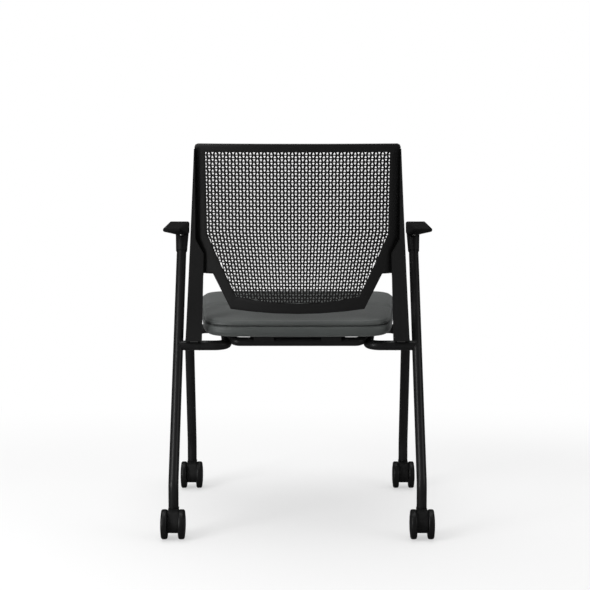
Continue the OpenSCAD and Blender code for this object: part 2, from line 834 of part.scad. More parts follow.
module socket(end, s) {
    color(plastic) translate(stem_place(end, s)) difference() {
        union() {
            translate([0, 0, leg_z]) cylinder(h = socket_len, r = tube_r - tube_wall - fit);
            translate([0, 0, leg_z - socket_flange_t]) cylinder(h = socket_flange_t, r = tube_r);
        }
        translate([0, 0, leg_z - 2 * socket_flange_t]) cylinder(h = socket_len * 2, r = stem_d / 2 + fit);
    }
}

module stem(end, s) {
    color(steel) translate(stem_place(end, s)) {
        translate([0, 0, body_top_z - stem_in_body + face_gap])
            cylinder(h = stem_in_body + stem_in_socket, d = stem_d);
        translate([0, 0, body_top_z + face_gap]) cylinder(h = stem_collar_t, d = stem_collar_d);
    }
}

module caster_body(end, s) {
    color(plastic) translate(stem_place(end, s)) difference() {
        translate([-body_w / 2, 0, 0]) rotate([90, 0, 90]) linear_extrude(height = body_w) {
            translate([trail, wheel_r]) circle(r = body_r);
            polygon([
                [-body_front, body_top_z],
                [-body_front, wheel_r + body_r / 2],
                [trail - body_r, wheel_r],
                [trail + body_r, wheel_r],
                [trail + body_r / 2, body_top_z - wheel_fillet],
                [body_front, body_top_z]
            ]);
        }
        translate([0, 0, body_top_z - stem_in_body]) cylinder(h = stem_in_body + cut, r = stem_d / 2 + fit);
        translate([-body_w, trail, wheel_r]) rotate([0, 90, 0])
            cylinder(h = 2 * body_w, r = axle_d / 2 + fit / 2);
    }
}

module axle(end, s) {
    reach = body_w / 2 + wheel_gap + wheel_bore_depth - face_gap;
    color(steel) translate(stem_place(end, s) + [-reach, trail, wheel_r]) rotate([0, 90, 0])
        cylinder(h = 2 * reach, d = axle_d);
}

// Wheel half-section, turned about the axle; its inner face is at zero
module wheel(end, s, out) {
    r = wheel_r;
    f = wheel_fillet;
    color(rubber) translate(stem_place(end, s) + [out * s * (body_w / 2 + wheel_gap), trail, wheel_r])
        rotate([0, out * s * 90, 0]) difference() {
            rotate_extrude() union() {
                square([r - f, wheel_w - wheel_dish]);
                square([r, wheel_w - f - wheel_dish]);
                translate([r - f, wheel_w - f - wheel_dish]) circle(r = f);
                square([r * hub_share, wheel_w]);
            }
            translate([0, 0, -cut]) cylinder(h = wheel_bore_depth + cut, r = axle_d / 2 + fit);
        }
}

rear_leg(LEFT);  // rear_leg_left
rear_leg(RIGHT);  // rear_leg_right
front_leg(LEFT);  // front_leg_left
front_leg(RIGHT);  // front_leg_right
cross_tube();
stub_rings();
upright(LEFT);  // upright_left
upright(RIGHT);  // upright_right
upright_bracket(LEFT);  // upright_bracket_left
upright_bracket(RIGHT);  // upright_bracket_right
upright_screws();
back_shell();
back_screws();
arm_sleeve(LEFT);  // arm_sleeve_left
arm_sleeve(RIGHT);  // arm_sleeve_right
arm_plate(LEFT);  // arm_plate_left
arm_plate(RIGHT);  // arm_plate_right
arm_pad(LEFT);  // arm_pad_left
arm_pad(RIGHT);  // arm_pad_right
arm_screws();
seat_pan();
seat_cushion();
hinge_clip(LEFT);  // hinge_clip_left
hinge_clip(RIGHT);  // hinge_clip_right
hinge_screws();
seat_bumpers();
socket("rear", LEFT);  // socket_rear_left
socket("rear", RIGHT);  // socket_rear_right
socket("front", LEFT);  // socket_front_left
socket("front", RIGHT);  // socket_front_right
stem("rear", LEFT);  // stem_rear_left
stem("rear", RIGHT);  // stem_rear_right
stem("front", LEFT);  // stem_front_left
stem("front", RIGHT);  // stem_front_right
caster_body("rear", LEFT);  // caster_rear_left
caster_body("rear", RIGHT);  // caster_rear_right
caster_body("front", LEFT);  // caster_front_left
caster_body("front", RIGHT);  // caster_front_right
axle("rear", LEFT);  // axle_rear_left
axle("rear", RIGHT);  // axle_rear_right
axle("front", LEFT);  // axle_front_left
axle("front", RIGHT);  // axle_front_right
wheel("rear", LEFT, 1);  // wheel_rear_left_outer
wheel("rear", LEFT, -1);  // wheel_rear_left_inner
wheel("rear", RIGHT, 1);  // wheel_rear_right_outer
wheel("rear", RIGHT, -1);  // wheel_rear_right_inner
wheel("front", LEFT, 1);  // wheel_front_left_outer
wheel("front", LEFT, -1);  // wheel_front_left_inner
wheel("front", RIGHT, 1);  // wheel_front_right_outer
wheel("front", RIGHT, -1);  // wheel_front_right_inner
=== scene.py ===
# A nesting chair on casters, seen from behind: bent-tube side frames, a perforated plastic back,
# a flip-up padded seat and short arm pads. Metres, +Z up, the sitter faces -Y.
import json
import math

import bmesh
import bpy
import numpy as np
from mathutils import Matrix, Vector
from mathutils.bvhtree import BVHTree


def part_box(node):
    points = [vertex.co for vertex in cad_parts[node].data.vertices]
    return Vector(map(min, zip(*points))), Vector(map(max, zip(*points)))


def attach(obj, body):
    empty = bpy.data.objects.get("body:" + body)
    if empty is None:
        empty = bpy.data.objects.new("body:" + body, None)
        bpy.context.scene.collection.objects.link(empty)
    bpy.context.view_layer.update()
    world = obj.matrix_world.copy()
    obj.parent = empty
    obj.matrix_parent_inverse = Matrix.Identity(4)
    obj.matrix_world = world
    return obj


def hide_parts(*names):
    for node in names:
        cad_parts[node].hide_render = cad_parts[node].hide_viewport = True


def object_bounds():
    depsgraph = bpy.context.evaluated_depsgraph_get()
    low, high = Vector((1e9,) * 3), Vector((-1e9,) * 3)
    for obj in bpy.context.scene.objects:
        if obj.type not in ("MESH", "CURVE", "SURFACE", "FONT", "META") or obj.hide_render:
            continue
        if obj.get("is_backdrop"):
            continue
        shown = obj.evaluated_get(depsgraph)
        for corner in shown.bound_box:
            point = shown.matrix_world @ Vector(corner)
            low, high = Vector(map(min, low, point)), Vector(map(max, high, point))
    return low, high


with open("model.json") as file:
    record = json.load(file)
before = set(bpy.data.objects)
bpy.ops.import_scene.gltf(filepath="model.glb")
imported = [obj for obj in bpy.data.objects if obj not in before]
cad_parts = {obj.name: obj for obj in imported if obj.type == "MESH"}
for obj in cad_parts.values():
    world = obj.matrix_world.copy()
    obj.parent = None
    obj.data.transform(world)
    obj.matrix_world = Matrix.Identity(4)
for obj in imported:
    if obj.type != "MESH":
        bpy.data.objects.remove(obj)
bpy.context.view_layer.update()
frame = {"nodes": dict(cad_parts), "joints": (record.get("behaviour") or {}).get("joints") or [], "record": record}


# Studio. A sweep of white paper, a broad soft lamp and a low one behind the chair on the left, a weaker
# one on the right and a soft one overhead. The camera stands behind the chair at the height of its back.
camera_distance = 3.580
camera_height = 0.9448
camera_pitch = math.radians(4.97)
film_width = 36
focal_pixels = 1686
picture_pixels = 590
shift_pixels = (-2.6, -50)
lamp_target = (0, 0, 0.45)
rear_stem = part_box("stem_rear_left")
rear_stem_y = (rear_stem[0][1] + rear_stem[1][1]) / 2


def placed(name, data):
    """A new object of the scene, at the origin."""
    made = bpy.data.objects.new(name, data)
    bpy.context.scene.collection.objects.link(made)
    return made


camera = placed("camera", bpy.data.cameras.new("camera"))
camera.location = (0, rear_stem_y + camera_distance, camera_height)
camera.rotation_euler = (math.pi / 2 - camera_pitch, 0, math.pi)
camera.data.sensor_width = film_width
camera.data.lens = focal_pixels / picture_pixels * film_width
camera.data.shift_x, camera.data.shift_y = [shift / picture_pixels for shift in shift_pixels]
bpy.context.scene.camera = camera
bpy.context.scene.view_settings.view_transform = "Standard"


def soft_lamp(name, place, size, power):
    """A rectangular lamp that faces the chair."""
    lamp = placed(name, bpy.data.lights.new(name, "AREA"))
    lamp.data.shape = "RECTANGLE"
    lamp.data.size, lamp.data.size_y = size
    lamp.data.energy = power
    lamp.location = place
    lamp.rotation_euler = (Vector(lamp_target) - Vector(place)).to_track_quat("-Z", "Y").to_euler()


soft_lamp("key_lamp", (2.6, 2.4, 2.4), (1.6, 1.6), 62)
soft_lamp("low_lamp", (1.6, 1.5, 0.4), (0.5, 0.4), 13)
soft_lamp("fill_lamp", (-3.0, 1.6, 1.6), (1.6, 2.2), 22)
soft_lamp("top_lamp", (0.2, -0.4, 3.4), (2.6, 2.6), 60)


class Field:
    """A socket that can stand in a sum: each operation adds one Math node."""

    def __init__(self, owner, socket):
        self.owner, self.socket = owner, socket

    def _math(self, operation, *others):
        return self.owner.node("ShaderNodeMath", {"operation": operation}, [self, *others])

    def __add__(self, other): return self._math("ADD", other)
    def __mul__(self, other): return self._math("MULTIPLY", other)
    def __sub__(self, other): return self._math("SUBTRACT", other)
    def __truediv__(self, other): return self._math("DIVIDE", other)
    def __radd__(self, other): return self + other
    def __rmul__(self, other): return self * other
    def __gt__(self, other): return self._math("GREATER_THAN", other)
    def __lt__(self, other): return self._math("LESS_THAN", other)
    def at_most(self, other): return self._math("MINIMUM", other)
    def root(self): return self._math("SQRT")
    def size(self): return self._math("ABSOLUTE")
    def floor(self): return self._math("FLOOR")
    def over(self, other): return self._math("FLOORED_MODULO", other)

    def __rsub__(self, other):
        return self.owner.node("ShaderNodeMath", {"operation": "SUBTRACT"}, [other, self])


class Tree:
    """Adds nodes to a tree and links whatever is itself a Field."""

    def __init__(self, tree):
        self.tree = tree

    def node(self, kind, settings=(), values=(), out=0):
        made = self.tree.nodes.new(kind)
        for key, value in dict(settings).items():
            setattr(made, key, value)
        pairs = values.items() if isinstance(values, dict) else enumerate(values)
        for key, value in pairs:
            if isinstance(value, Field):
                self.tree.links.new(value.socket, made.inputs[key])
            elif value is not None:
                made.inputs[key].default_value = value
        return Field(self, made.outputs[out]) if made.outputs else None


class Finish(Tree):
    """A material whose pattern lies on the piece's own place in the chair."""

    def __init__(self, name):
        self.material = bpy.data.materials.new(name)
        self.material.use_nodes = True
        super().__init__(self.material.node_tree)
        self.tree.nodes.clear()
        self.where = self.node("ShaderNodeTexCoord", out="Object")

    def noise(self, scale, detail=2.0, rough=0.5):
        return self.node("ShaderNodeTexNoise", {}, {
            "Vector": self.where, "Scale": scale, "Detail": detail, "Roughness": rough})

    def cells(self, scale):
        return self.node("ShaderNodeTexVoronoi", {}, {"Vector": self.where, "Scale": scale})

    def blend(self, factor, low, high):
        return self.node("ShaderNodeMix", {"data_type": "RGBA"}, {
            0: factor, 6: (*low, 1), 7: (*high, 1)}, out=2)

    def bump(self, height, strength, distance, under=None):
        return self.node("ShaderNodeBump", {}, {
            "Strength": strength, "Distance": distance, "Height": height, "Normal": under})

    def skin(self, **values):
        named = {key.replace("_", " ").title().replace("Ior", "IOR"): value
                 for key, value in values.items()}
        shader = self.node("ShaderNodeBsdfPrincipled", {}, named)
        self.node("ShaderNodeOutputMaterial", {}, {"Surface": shader})
        return self.material


# Paper and sky. Both are white to the camera and dim grey in reflections, and the paper keeps the
# chair's shadow. It fades into the sky a little way behind the chair.
white = (1, 1, 1, 1)
bounce_grey, drawn_grey, mirrored_grey, paper_glow = 0.8, 0.36, 0.12, 0.52
side_stretch, far_stretch = 0.6, 0.4
fade_start, fade_end = 0.7, 1.9
paper = Finish("white_paper")
shadowed, drawn, dim = [paper.node("ShaderNodeBsdfDiffuse", {}, {"Color": (grey, grey, grey, 1)})
                        for grey in (bounce_grey, drawn_grey, mirrored_grey)]
glow, endless = [paper.node("ShaderNodeEmission", {}, {"Color": white, "Strength": strength})
                 for strength in (paper_glow, 1.0)]
camera_ray, glossy_ray = [paper.node("ShaderNodeLightPath", out=ray)
                          for ray in ("Is Camera Ray", "Is Glossy Ray")]
spot_x, spot_y = [paper.node("ShaderNodeSeparateXYZ", {}, [paper.where], out=k) for k in range(2)]
distance = (spot_x * spot_x * side_stretch + spot_y * spot_y).root() - far_stretch * spot_y * (spot_y < 0)
far = paper.node("ShaderNodeMapRange", {"interpolation_type": "SMOOTHSTEP"},
                 [distance, fade_start, fade_end])
near = paper.node("ShaderNodeAddShader", {}, [drawn, glow])
swept = paper.node("ShaderNodeMixShader", {}, [far, near, endless])
unseen = paper.node("ShaderNodeMixShader", {}, [glossy_ray, shadowed, dim])
paper.node("ShaderNodeOutputMaterial", {}, {
    "Surface": paper.node("ShaderNodeMixShader", {}, [camera_ray, unseen, swept])})
floor_half = 30
floor_mesh = bpy.data.meshes.new("paper_floor")
floor_mesh.from_pydata([(-floor_half, -floor_half, 0), (floor_half, -floor_half, 0),
                        (floor_half, floor_half, 0), (-floor_half, floor_half, 0)], [], [(0, 1, 2, 3)])
floor_mesh.materials.append(paper.material)
paper_floor = placed("paper_floor", floor_mesh)
paper_floor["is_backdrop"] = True

sky_light, sky_mirrored = 0.55, 0.06
world = bpy.data.worlds.new("white_sky")
world.use_nodes = True
bpy.context.scene.world = world
sky = Tree(world.node_tree)
sky.tree.nodes.clear()
seen, glossy, through = [sky.node("ShaderNodeLightPath", out=ray)
                         for ray in ("Is Camera Ray", "Is Glossy Ray", "Is Transmission Ray")]
lit, shown, mirrored = [sky.node("ShaderNodeBackground", {}, {"Color": white, "Strength": strength})
                        for strength in (sky_light, 1.0, sky_mirrored)]
dome = sky.node("ShaderNodeMixShader", {}, [glossy, lit, mirrored])
sky.node("ShaderNodeOutputWorld", {}, {
    "Surface": sky.node("ShaderNodeMixShader", {}, [seen + through > 0.5, dome, shown])})


# Side frames. Round steel tube, bent cold and welded, with a satin black powder coat that shows a
# faint orange peel. A front leg, the run under the seat and the stub are one length of tube.
def shaded(work, crease):
    """Smooth shading, but for edges that turn by more than a crease angle in degrees."""
    for face in work.faces:
        face.smooth = True
    for edge in work.edges:
        edge.smooth = len(edge.link_faces) == 2 and edge.calc_face_angle(0) < math.radians(crease)


def smoothed(node, body, material, crease=32):
    """A smooth-shaded piece with a CAD node's own shape."""
    mesh = frame["nodes"][node].data.copy()
    mesh.materials.clear()
    mesh.materials.append(material)
    piece = placed(node + "_finish", mesh)
    work = bmesh.new()
    work.from_mesh(mesh)
    bmesh.ops.remove_doubles(work, verts=work.verts, dist=2e-6)
    shaded(work, crease)
    work.to_mesh(mesh)
    work.free()
    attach(piece, body)
    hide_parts(node)


powder = Finish("black_powder_coat")
peel = powder.noise(900, 2.0, 0.6)
cloud = powder.noise(14, 3.0)
powder_coat = powder.skin(
    base_color=powder.blend(cloud, (0.006, 0.006, 0.0062), (0.0095, 0.0095, 0.0096)),
    roughness=0.36 + 0.1 * cloud, specular_ior_level=0.17,
    coat_weight=0.08, coat_roughness=0.1,
    normal=powder.bump(peel, 0.12, 0.0004))

for node in ("rear_leg_left", "rear_leg_right", "front_leg_left", "front_leg_right", "cross_tube",
             "stub_rings"):
    smoothed(node, "frame", powder_coat)


# Weld beads. A thin rippled bead of steel runs round each stub where it is cut to fit its rear leg,
# laid by hand before the powder coat.
def joined(work, rows, closed):
    """Faces all round between each row of points and the next, and from the last to the first if closed."""
    for a, b in zip(rows, rows[1:] + rows[:1] if closed else rows[1:]):
        for k in range(len(a)):
            m = (k + 1) % len(a)
            work.faces.new((a[k], a[m], b[m], b[k]))


def formed(work, name, material, crease):
    """A new piece of faces that were laid one by one."""
    bmesh.ops.recalc_face_normals(work, faces=work.faces)
    shaded(work, crease)
    mesh = bpy.data.meshes.new(name)
    work.to_mesh(mesh)
    work.free()
    mesh.materials.append(material)
    return placed(name, mesh)


tube_radius = 0.011
bead_radius, bead_steps, bead_sides = 0.0015, 72, 8
ripple_share, ripple_steps = 0.12, 4
bead_clear = 0.01
stub_low, stub_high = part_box("stub_rings")
stub_y, stub_z = [(stub_low[k] + stub_high[k]) / 2 for k in (1, 2)]
rear_lean = math.radians(28.3)
leg_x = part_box("front_leg_left")[1][0]
bead_turns = [2 * math.pi * k / bead_sides for k in range(bead_sides)]
# The line follows the cut, on the leg's round side, and stays a little clear of its outermost point.
for side, name in ((1, "weld_bead_left"), (-1, "weld_bead_right")):
    line = []
    for k in range(bead_steps):
        turn = 2 * math.pi * k / bead_steps
        into = math.sqrt(math.cos(turn + rear_lean) ** 2 + bead_clear) * tube_radius
        line.append(Vector((side * (leg_x - into),
                            stub_y + tube_radius * math.sin(turn),
                            stub_z + tube_radius * math.cos(turn))))
    bead = bmesh.new()
    rows = []
    for k, middle in enumerate(line):
        ahead = (line[(k + 1) % bead_steps] - line[k - 1]).normalized()
        out = Vector((0, middle.y - stub_y, middle.z - stub_z)).normalized()
        over = ahead.cross(out)
        ripple = bead_radius * (1 + ripple_share * math.sin(k * 2 * math.pi / ripple_steps))
        rows.append([bead.verts.new(middle + ripple * (out * math.cos(turn) + over * math.sin(turn)))
                     for turn in bead_turns])
    joined(bead, rows, closed=True)
    weld = formed(bead, name, powder_coat, crease=180)
    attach(weld, "frame")


# Uprights, sleeves, pan, clips, sockets and caster forks. Black glass-filled nylon with the fine grain
# of the mould, a little duller than the tubes.
nylon = Finish("black_nylon")
grain = nylon.noise(2400, 2.0, 0.6)
cloud = nylon.noise(9, 3.0)
moulded = nylon.skin(
    base_color=nylon.blend(cloud, (0.006, 0.006, 0.006), (0.009, 0.009, 0.009)),
    roughness=0.45 + 0.12 * cloud, specular_ior_level=0.2,
    normal=nylon.bump(grain, 0.25, 0.0002))

bodies = frame["record"]["behaviour"]["bodies"]
body_of = {node: body for body, nodes in bodies.items() for node in nodes}
for node in body_of:
    if node.startswith(("upright_left", "upright_right", "arm_sleeve", "seat_pan", "hinge_clip", "socket_",
                        "caster_")):
        smoothed(node, body_of[node], moulded)


# Screws, brackets, plates, stems and axles. Zinc-plated steel with a faint grain. The screws hold the
# uprights, the back, the pads and the hinge clips, and the stems and axles hold the casters.
zinc = Finish("zinc_plate")
grain = zinc.noise(1500, 2.0)
cloud = zinc.noise(60, 3.0)
zinc_plate = zinc.skin(
    base_color=zinc.blend(cloud, (0.2, 0.2, 0.195), (0.3, 0.3, 0.29)),
    metallic=1.0, roughness=0.3 + 0.15 * grain,
    normal=zinc.bump(grain, 0.1, 0.0001))
for node in body_of:
    if node.startswith(("upright_bracket", "upright_screws", "back_screws", "arm_plate", "arm_screws",
                        "hinge_screws", "stem_", "axle_")):
        smoothed(node, body_of[node], zinc_plate)


# Back. One injection moulding of black polypropylene: a border round a net of small openings, bowed
# round the sitter and bulged at the small of the back. It is screwed to the uprights from the front.
def arc_through(p, q, sag):
    """Centre and radius of the arc from p to q that bulges by sag."""
    p, q = np.array(p), np.array(q)
    chord = np.linalg.norm(q - p)
    radius = chord ** 2 / (8 * sag) + sag / 2
    across = np.array([(q - p)[1], (p - q)[0]]) / chord
    return ((p + q) / 2 + (radius - sag) * across).tolist(), float(radius)


plan_radius = 0.560
back_set = 0.048
lean_back = 0.122
back_top = 0.849
side_sag = 0.012
shell_thick = 0.005
foot_height = stub_z + tube_radius
back_axis_y = stub_y + back_set - plan_radius
(arc_reach, arc_height), side_radius = arc_through(
    (plan_radius, foot_height), (plan_radius + lean_back, back_top), side_sag)


def back_point(x, z, depth):
    """A point of the shell at a width and a height, a depth behind its middle surface."""
    arch = math.sqrt(side_radius ** 2 - (z - arc_height) ** 2)
    radius = arc_reach - arch
    rise = math.sqrt(radius ** 2 - x ** 2)
    normal = Vector(((x / radius) * arch, (rise / radius) * arch, arc_height - z)) / side_radius
    return Vector((x, back_axis_y + rise, z)) + depth * normal


polypropylene = Finish("black_polypropylene")
grain = polypropylene.noise(1600, 2.0, 0.6)
cloud = polypropylene.noise(7, 3.0)
shell_plastic = polypropylene.skin(
    base_color=polypropylene.blend(cloud, (0.006, 0.006, 0.006), (0.009, 0.009, 0.009)),
    roughness=0.42 + 0.1 * cloud, specular_ior_level=0.2,
    normal=polypropylene.bump(grain, 0.18, 0.0002))

# Outlines as seen from behind, right half, from the middle of the foot round to the middle of the top.
outer_keys = [(0, 0.474), (0.05, 0.475), (0.10, 0.4782), (0.147, 0.483), (0.1855, 0.562), (0.201, 0.562),
              (0.201, 0.612), (0.2168, 0.645), (0.2168, 0.820), (0.2197, 0.842), (0.2177, 0.847),
              (0.2127, 0.849), (0, 0.849)]
inner_keys = [(0, 0.497), (0.045, 0.4986), (0.09, 0.5034), (0.1355, 0.5115), (0.164, 0.5733),
              (0.1685, 0.583), (0.1822, 0.615), (0.197, 0.650), (0.197, 0.812), (0.197, 0.829),
              (0.1962, 0.8312), (0.194, 0.832), (0, 0.832)]
key_steps = [6, 6, 6, 12, 3, 8, 6, 24, 4, 2, 2, 30]
# The border's section: shares of its width, each with a share of half its thickness.
border_section = [(0.0, 0.35), (0.02, 0.8), (0.07, 1.0), (0.35, 1.0),
                  (0.65, 1.0), (0.93, 1.0), (0.98, 0.8), (1.0, 0.35)]


def ring_points(keys):
    """Points all round an outline, as many between two keys for each outline."""
    half = []
    for (a, b), count in zip(zip(keys, keys[1:]), key_steps):
        half += [(a[0] + (b[0] - a[0]) * k / count, a[1] + (b[1] - a[1]) * k / count) for k in range(count)]
    half.append(keys[-1])
    return half + [(-x, z) for x, z in half[-2:0:-1]]


outer_ring, inner_ring = ring_points(outer_keys), ring_points(inner_keys)
border = bmesh.new()
loops = []
for sign, shares in ((1, border_section), (-1, border_section[::-1])):
    for share, fat in shares:
        line = [(o[0] + (i[0] - o[0]) * share, o[1] + (i[1] - o[1]) * share)
                for o, i in zip(outer_ring, inner_ring)]
        loops.append([border.verts.new(back_point(x, z, sign * fat * shell_thick / 2)) for x, z in line])
joined(border, loops, closed=True)


def band(points_a, points_b, front, rear):
    """A flat strip between two lines of the shell, from a front depth to a rear depth."""
    rows = [[border.verts.new(back_point(x, z, depth)) for x, z in line]
            for line, depth in ((points_a, rear), (points_b, rear), (points_b, front), (points_a, front))]
    for a, b in zip(rows, rows[1:] + rows[:1]):
        for k in range(len(a) - 1):
            border.faces.new((a[k], a[k + 1], b[k + 1], b[k]))
    border.faces.new([row[0] for row in rows])
    border.faces.new([row[-1] for row in rows])


# The flanges lie in front of the uprights, from the border's side out to the edge of the chair's back.
flange_steps = 24
flange_foot, flange_top = 0.562, 0.836
flange_half_foot, flange_half_top = 0.235, 0.2185
waist_half, waist_growth, waist_from, waist_rise = 0.198, 0.016, 0.612, 0.033
for side in (1, -1):
    inside, outside = [], []
    for k in range(flange_steps + 1):
        z = flange_foot + (flange_top - flange_foot) * k / flange_steps
        waist = waist_half + waist_growth * min(1, max(0, (z - waist_from) / waist_rise))
        edge = flange_half_foot + (flange_half_top - flange_half_foot) * k / flange_steps
        inside.append((side * waist, z))
        outside.append((side * edge, z))
    band(inside, outside, -shell_thick / 2, 0)
back_border = formed(border, "back_border", shell_plastic, crease=40)
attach(back_border, "frame")
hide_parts("back_shell")


# Net. The middle of the back, moulded in one with its border of the same polypropylene. One opening is
# drawn as a small tile, and nodes lay it out in rows and columns, turn every second one over, crowd the
# columns together towards the foot and bend the sheet to the shell.
net_thick = 0.0022
column_pitch, row_pitch = 0.007405, 0.00741
columns, rows_of_net = 54, 47
net_top = 0.8322
hole_foot, hole_head, hole_rise = 0.0028, 0.0003, 0.00268
corner_cut = 0.0003
tile_ring = [(-column_pitch / 2, -row_pitch / 2), (column_pitch / 2, -row_pitch / 2),
             (column_pitch / 2, row_pitch / 2), (-column_pitch / 2, row_pitch / 2)]
hole_ring = [Vector(corner) for corner in ((-hole_foot, -hole_rise), (hole_foot, -hole_rise),
                                           (hole_head, hole_rise), (-hole_head, hole_rise))]
cut_ring = []
for k, corner in enumerate(hole_ring):
    for other in (hole_ring[k - 1], hole_ring[(k + 1) % 4]):
        cut_ring.append(corner + (other - corner).normalized() * corner_cut)
tile = bmesh.new()
sides = []
for depth in (-net_thick / 2, net_thick / 2):
    sides.append(([tile.verts.new((x, depth, z)) for x, z in tile_ring],
                  [tile.verts.new((p.x, depth, p.y)) for p in cut_ring]))
for number, (outline, hole) in enumerate(sides):
    for k in range(4):
        m = (k + 1) % 4
        for face in ((outline[k], outline[m], hole[2 * m], hole[2 * k + 1]),
                     (outline[k], hole[2 * k + 1], hole[2 * k])):
            tile.faces.new(face if number == 0 else face[::-1])
for k in range(8):
    m = (k + 1) % 8
    tile.faces.new((sides[0][1][k], sides[0][1][m], sides[1][1][m], sides[1][1][k]))
tile_mesh = bpy.data.meshes.new("back_net")
tile.to_mesh(tile_mesh)
tile.free()
back_net = placed("back_net", tile_mesh)


def plain(piece):
    """Leaves a plain mesh of what a piece's modifiers show."""
    solid = bpy.data.meshes.new_from_object(piece.evaluated_get(bpy.context.evaluated_depsgraph_get()))
    piece.modifiers.clear()
    piece.data = solid


class Layout(Tree):
    """A Geometry Nodes tree with named number inputs."""

    def __init__(self, name, **numbers):
        super().__init__(bpy.data.node_groups.new(name, "GeometryNodeTree"))
        sockets = self.tree.interface
        sockets.new_socket("Geometry", in_out="INPUT", socket_type="NodeSocketGeometry")
        sockets.new_socket("Geometry", in_out="OUTPUT", socket_type="NodeSocketGeometry")
        self.asked = numbers
        for label, value in numbers.items():
            kind = "NodeSocketInt" if isinstance(value, int) else "NodeSocketFloat"
            sockets.new_socket(label, in_out="INPUT", socket_type=kind)
        self.start = self.tree.nodes.new("NodeGroupInput")
        self.given = Field(self, self.start.outputs["Geometry"])

    def number(self, label):
        return Field(self, self.start.outputs[label])

    def dress(self, piece, result):
        """Runs the tree on a piece and leaves a plain mesh."""
        end = self.tree.nodes.new("NodeGroupOutput")
        self.tree.links.new(result.socket, end.inputs["Geometry"])
        modifier = piece.modifiers.new("layout", "NODES")
        modifier.node_group = self.tree
        for item in self.tree.interface.items_tree:
            if item.in_out == "INPUT" and item.name in self.asked:
                modifier[item.identifier] = self.asked[item.name]
        plain(piece)


net = Layout("net_layout", Columns=columns, Rows=rows_of_net, Column=column_pitch, Row=row_pitch,
             Top=net_top, Crowd_below=0.657, Crowding=0.985)
index = net.node("GeometryNodeInputIndex")
column = index.over(net.number("Columns"))
row = (index / net.number("Columns")).floor()
x = (column - (net.number("Columns") - 1) / 2) * net.number("Column")
z = net.number("Top") - (row + 0.5) * net.number("Row")


def crowded(height):
    """How much the columns are drawn together at a height."""
    under = net.number("Crowd_below") - height
    return 1 - net.number("Crowding") * under * (under > 0)


# Openings are kept inside the border: its straight sides, its sloped sides and its curved foot.
net_half, net_foot = 0.1975, 0.4965
foot_z, (corner_x, corner_z), (hip_x, hip_z) = inner_keys[0][1], inner_keys[3], inner_keys[7]
slope = (hip_x - corner_x) / (hip_z - corner_z)
foot_bow = (corner_z - foot_z) / corner_x ** 2
reach = x.size() * crowded(z)
side_limit = (corner_x + slope * (z - corner_z)).at_most(net_half)
kept = (reach < side_limit) * (z > net_foot + foot_bow * reach * reach)
spots = net.node("GeometryNodePoints", {}, {
    "Count": net.number("Columns") * net.number("Rows"),
    "Position": net.node("ShaderNodeCombineXYZ", {}, [x, 0.0, z])})
turned = (column + row).over(2)
laid = net.node("GeometryNodeInstanceOnPoints", {}, {
    "Points": spots, "Selection": kept, "Instance": net.given,
    "Rotation": net.node("ShaderNodeCombineXYZ", {}, [0.0, turned * math.pi, 0.0])})
flat = net.node("GeometryNodeRealizeInstances", {}, [laid])
welded = net.node("GeometryNodeMergeByDistance", {}, {"Geometry": flat, "Distance": 0.00005})
place = net.node("GeometryNodeInputPosition")
across, through, up = [net.node("ShaderNodeSeparateXYZ", {}, [place], out=k) for k in range(3)]
wide = across * crowded(up)
climb = up - arc_height
arch = (side_radius ** 2 - climb * climb).root()
radius = arc_reach - arch
rise = (radius * radius - wide * wide).root()
depth = through / side_radius
bent = net.node("ShaderNodeCombineXYZ", {}, [
    wide + depth * arch * wide / radius,
    back_axis_y + rise + depth * arch * rise / radius,
    up - depth * climb])
shaped = net.node("GeometryNodeSetPosition", {}, {"Geometry": welded, "Position": bent})
net.dress(back_net, net.node("GeometryNodeSetMaterial", {}, {
    "Geometry": shaped, "Material": shell_plastic}))
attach(back_net, "frame")


# Cushion. Moulded foam on the seat pan under grey-green upholstery vinyl, drawn in at a seam all round
# its side and stapled underneath, so that its sides roll and its top is crowned.
vinyl = Finish("grey_green_vinyl")
pores = vinyl.noise(1500, 3.0, 0.6)
cloud = vinyl.noise(5, 4.0, 0.6)
seat_vinyl = vinyl.skin(
    base_color=vinyl.blend(cloud, (0.036, 0.041, 0.039), (0.05, 0.056, 0.0535)),
    roughness=0.44 + 0.14 * pores, sheen_weight=0.15, sheen_roughness=0.4,
    normal=vinyl.bump(pores, 0.25, 0.0002, vinyl.bump(vinyl.cells(620), 0.35, 0.0005)))
front_half, rear_half, seat_depth, seat_behind = 0.240, 0.207, 0.440, 0.038
seat_tilt = math.radians(-2)
seat_middle = seat_behind - seat_depth / 2
corner_power = 8
pan_top, cushion_height, crown, crown_power, rim_in = 0.0177, 0.036, 0.005, 3, 0.033
# The side's section: each inset as a share of rim_in, each height as a share of cushion_height.
levels = [(0.6, 0.0), (0.58, -0.05), (0.22, -0.05), (0.07, 0.04), (0.0, 0.22), (0.0, 0.4),
          (0.05, 0.56), (0.17, 0.63), (0.08, 0.7), (0.06, 0.82), (0.13, 0.94), (0.3, 1.0)]
seam_level, per_level, around, top_rings, outline_steps = 7, 3, 192, 15, 2880
seat_hinge = next(joint for joint in frame["joints"] if joint["name"] == "seat_flip")
to_chair = Matrix.Translation(seat_hinge["pos_m"]) @ Matrix.Rotation(seat_tilt, 4, "X")


